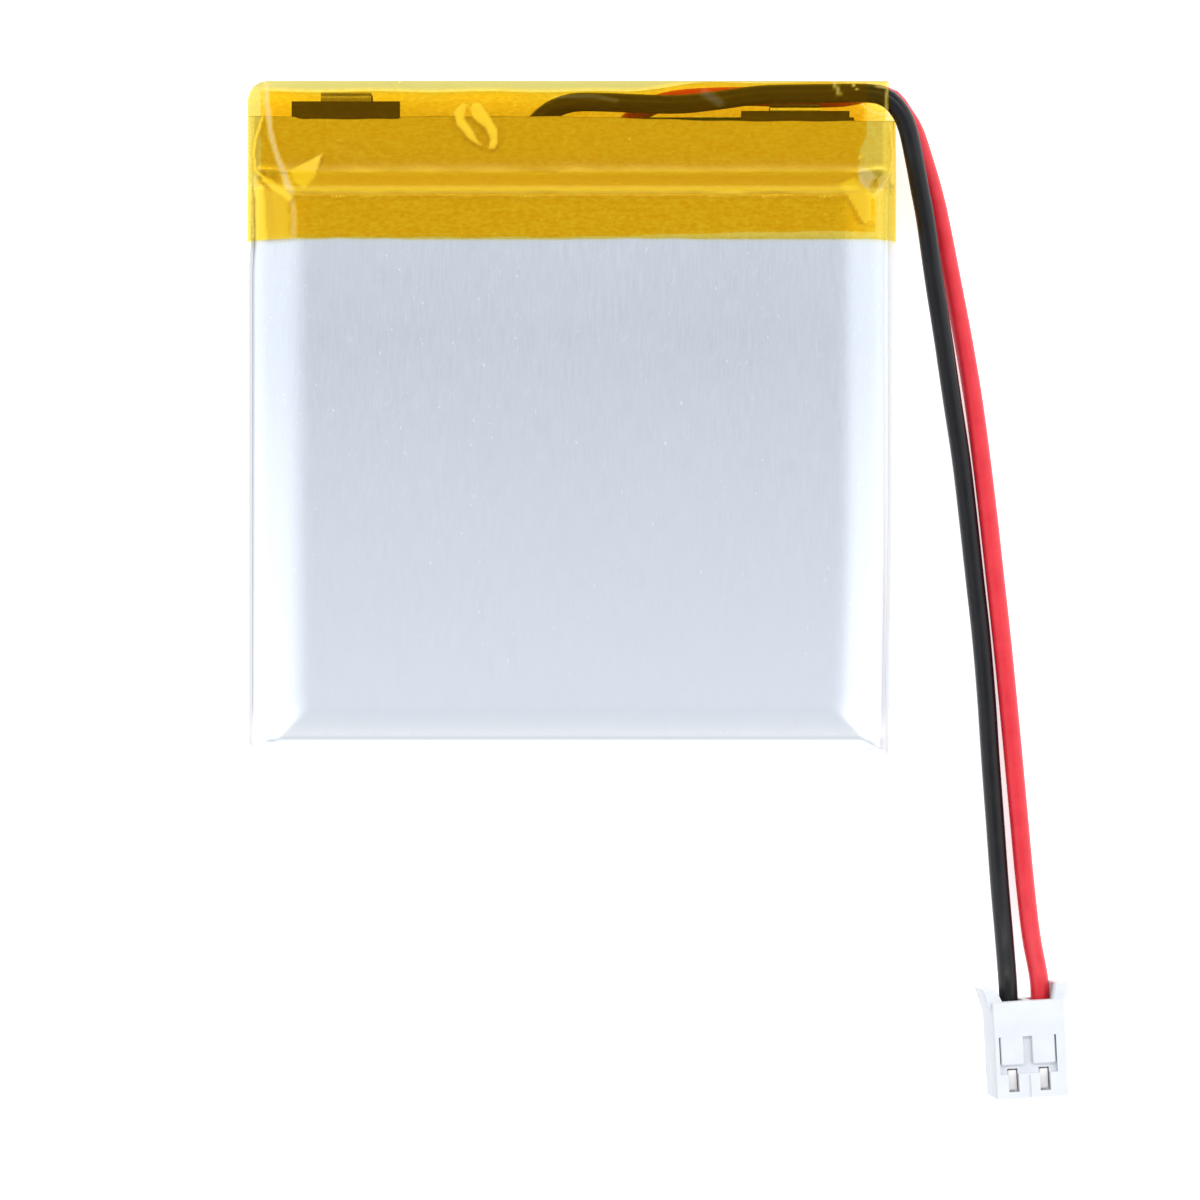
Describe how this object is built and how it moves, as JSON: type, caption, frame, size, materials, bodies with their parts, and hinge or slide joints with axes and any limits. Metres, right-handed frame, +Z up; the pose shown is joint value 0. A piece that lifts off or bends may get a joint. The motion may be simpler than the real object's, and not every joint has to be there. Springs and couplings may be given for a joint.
{
  "type": "pouch battery cell",
  "caption": "Flat lithium-polymer pouch cell with a protection board under amber tape, and a red and a black lead ending in a small white plug.",
  "frame": {"origin": "on the surface the cell lies on, under the middle of the cell's body, without its leads and plug", "axes": "+Z up through the cell's thickness, +Y towards the taped terminal end, +X to the right, the side that the leads leave from"},
  "size_m": [0.0521, 0.0641, 0.0082],
  "materials": {
    "laminate": "satin laminated film",
    "amber_tape": "glossy amber polyimide film",
    "copper_foil": null,
    "aluminium_foil": "bare foil",
    "separator": "microporous film",
    "nickel": "nickel strip or tinned contact",
    "sealant": "tab sealing film",
    "fish_paper": "vulcanised paper",
    "board": "glass-epoxy board with solder mask",
    "chip": "moulded epoxy",
    "passive": "ceramic chip",
    "solder": "solder and tinned copper strand",
    "red_insulation": "soft PVC",
    "black_insulation": "soft PVC",
    "white_nylon": "moulded nylon"
  },
  "bodies": {
    "root": {"pouch_film": "laminate", "separator_inner": "separator", "anode_strip": "copper_foil", "separator_outer": "separator", "cathode_strip": "aluminium_foil", "winding_tape": "amber_tape", "negative_tab": "nickel", "positive_tab": "aluminium_foil", "negative_tab_sealant": "sealant", "positive_tab_sealant": "sealant", "negative_nickel_strip": "nickel", "positive_nickel_strip": "nickel", "terrace_insulator": "fish_paper", "circuit_board": "board", "mosfet_pair": "chip", "protection_ic": "chip", "filter_resistor": "passive", "sense_resistor": "passive", "filter_capacitor": "passive", "black_solder_joint": "solder", "red_solder_joint": "solder", "black_conductor_at_board": "solder", "red_conductor_at_board": "solder", "black_lead_under_tape": "black_insulation", "red_lead_under_tape": "red_insulation", "inner_tape": "amber_tape", "outer_tape": "amber_tape", "black_lead": "black_insulation", "red_lead": "red_insulation", "black_conductor_at_plug": "solder", "red_conductor_at_plug": "solder", "black_crimp_terminal": "nickel", "red_crimp_terminal": "nickel", "plug_housing": "white_nylon"}
  },
  "joints": []
}
